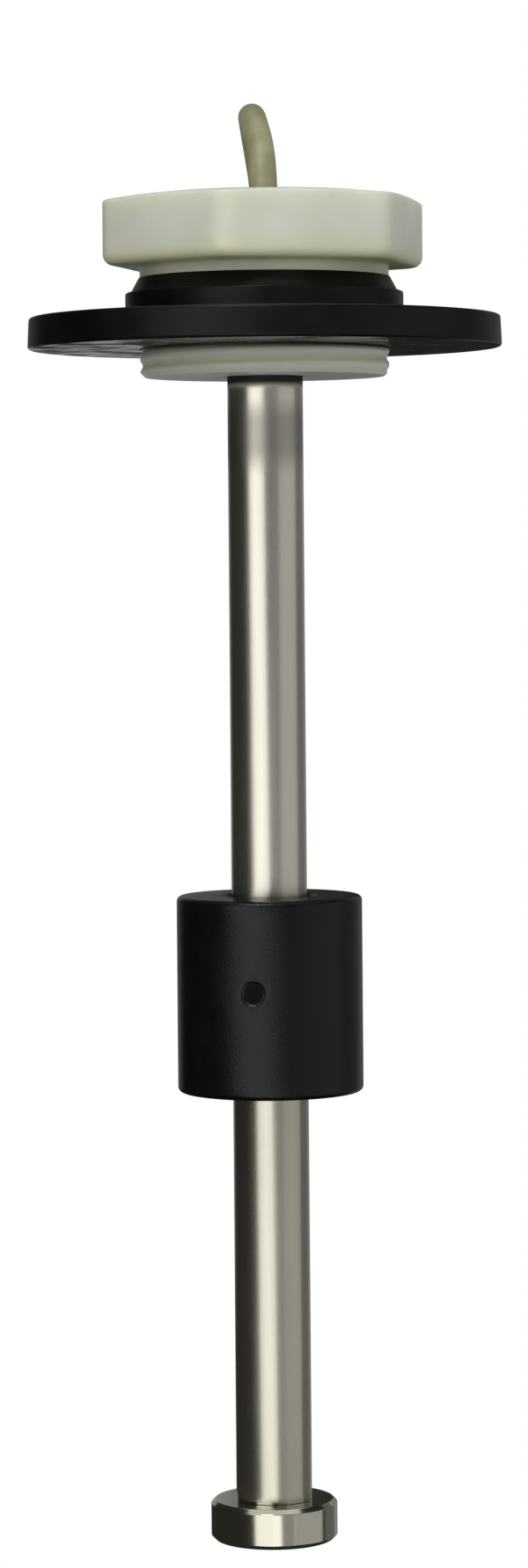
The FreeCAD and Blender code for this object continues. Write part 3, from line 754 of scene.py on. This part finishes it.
# Studio: the sender hangs far above a plain white floor that only the camera sees. A tall tilted softbox
# front left gives the steel its bright band and a wide one on the right its grey band. The camera stands
# level, a little below the flange, with its frame shifted down to the nut. Sizes here are in metres.
FLOOR_LEVEL = -3.0
FLOOR_HALF = 9.0
LAMP_LEVEL = -0.08
LAMP_DISTANCE = 1.2
EYE_DISTANCE = 0.743
EYE_HEIGHT = -0.0361
EYE_SIDE = -0.00042
EYE_SHIFT = -0.1409
EYE_ROLL = math.radians(0.48)
EYE_LENS = 101.37
floor_mesh = bpy.data.meshes.new("floor")
floor_plan = np.array([(-1, -1, 0), (1, -1, 0), (1, 1, 0), (-1, 1, 0)])
floor_corners = FLOOR_HALF * floor_plan + (0, 0, FLOOR_LEVEL)
floor_mesh.from_pydata(floor_corners.tolist(), [], [(0, 1, 2, 3)])
floor = bpy.data.objects.new("floor", floor_mesh)
bpy.context.scene.collection.objects.link(floor)
pale_floor, place = finish("pale_floor", {
    "Roughness": 0.8, "Emission Color": (1.0, 1.0, 1.0, 1), "Emission Strength": 0.85})
feed(pale_floor, {"Base Color": place.grain(0.002).tint((0.78, 0.78, 0.77, 1), (0.82, 0.82, 0.81, 1))})
coat(floor, pale_floor)
floor.visible_diffuse = False
floor.visible_glossy = False


def softbox(name, clock, width, height, radiance, elevation=0.0, distance=LAMP_DISTANCE, tilt=0.0,
            level=LAMP_LEVEL, diffuse=True, glossy=True):
    """A soft rectangular light that faces a level of the stem from a clock angle and an elevation, and is
    tilted on its own axis. Its power is its radiance times its area times pi. It may be hidden from the
    surfaces' diffuse light or from their reflections."""
    light = bpy.data.lights.new(name, "AREA")
    light.shape = "RECTANGLE"
    light.size = width
    light.size_y = height
    light.energy = radiance * width * height * math.pi
    lamp = bpy.data.objects.new(name, light)
    turn = math.radians(clock)
    lift = math.radians(elevation)
    out = distance * math.cos(lift)
    lamp.location = (out * math.sin(turn), -out * math.cos(turn), distance * math.sin(lift) + level)
    lamp.rotation_euler = (math.pi / 2 - lift, math.radians(tilt), turn)
    lamp.visible_camera = False
    lamp.visible_diffuse = diffuse
    lamp.visible_glossy = glossy
    bpy.context.scene.collection.objects.link(lamp)


softbox("key", clock=-20.8, width=0.78, height=1.64, radiance=1.55, tilt=-44.0, level=-0.233, diffuse=False)
softbox("fill", clock=70.0, width=1.45, height=1.5, radiance=0.48, elevation=4.0, tilt=8.0)
softbox("side", clock=126.0, width=0.9, height=1.5, radiance=0.14)
softbox("gap", clock=24.0, width=0.65, height=1.4, radiance=0.19, distance=1.25)
softbox("foot", clock=18.0, width=0.85, height=0.6, radiance=0.17, elevation=-19.0, diffuse=False)
softbox("near", clock=-16.0, width=0.1, height=0.1, radiance=2.15, elevation=12.0, distance=0.13,
        level=0.02, glossy=False)
softbox("low", clock=17.0, width=0.42, height=0.5, radiance=1.3, elevation=-22.0, glossy=False)
softbox("back", clock=196.0, width=0.66, height=0.9, radiance=0.33, level=0.1)
softbox("rear", clock=155.0, width=0.5, height=1.5, radiance=0.26)
softbox("crest", clock=-18.0, width=0.34, height=0.5, radiance=9.0, elevation=52.0, diffuse=False)
softbox("top", clock=0.0, width=1.6, height=1.6, radiance=0.8, elevation=90.0, distance=1.4)
world = bpy.data.worlds.new("studio")
bpy.context.scene.world = world
world.use_nodes = True
background = world.node_tree.nodes["Background"]
path = world.node_tree.nodes.new("ShaderNodeLightPath")
reflected = Tone(path.outputs["Is Glossy Ray"])
seen = Tone(path.outputs["Is Camera Ray"])
ambient = reflected.tint((0.35, 0.35, 0.34, 1), (0.029, 0.029, 0.026, 1))
backdrop = seen.tint(ambient, (1.0, 1.0, 1.0, 1))
world.node_tree.links.new(backdrop.socket, background.inputs["Color"])
eye = bpy.data.cameras.new("camera")
eye.lens = EYE_LENS
eye.shift_y = EYE_SHIFT
eye.clip_start = 0.01
eye.clip_end = 50.0
camera = bpy.data.objects.new("camera", eye)
camera.location = (EYE_SIDE, -EYE_DISTANCE, EYE_HEIGHT)
camera.rotation_euler = (math.pi / 2, EYE_ROLL, 0.0)
bpy.context.scene.collection.objects.link(camera)
bpy.context.scene.camera = camera
bpy.context.scene.view_settings.view_transform = "Standard"
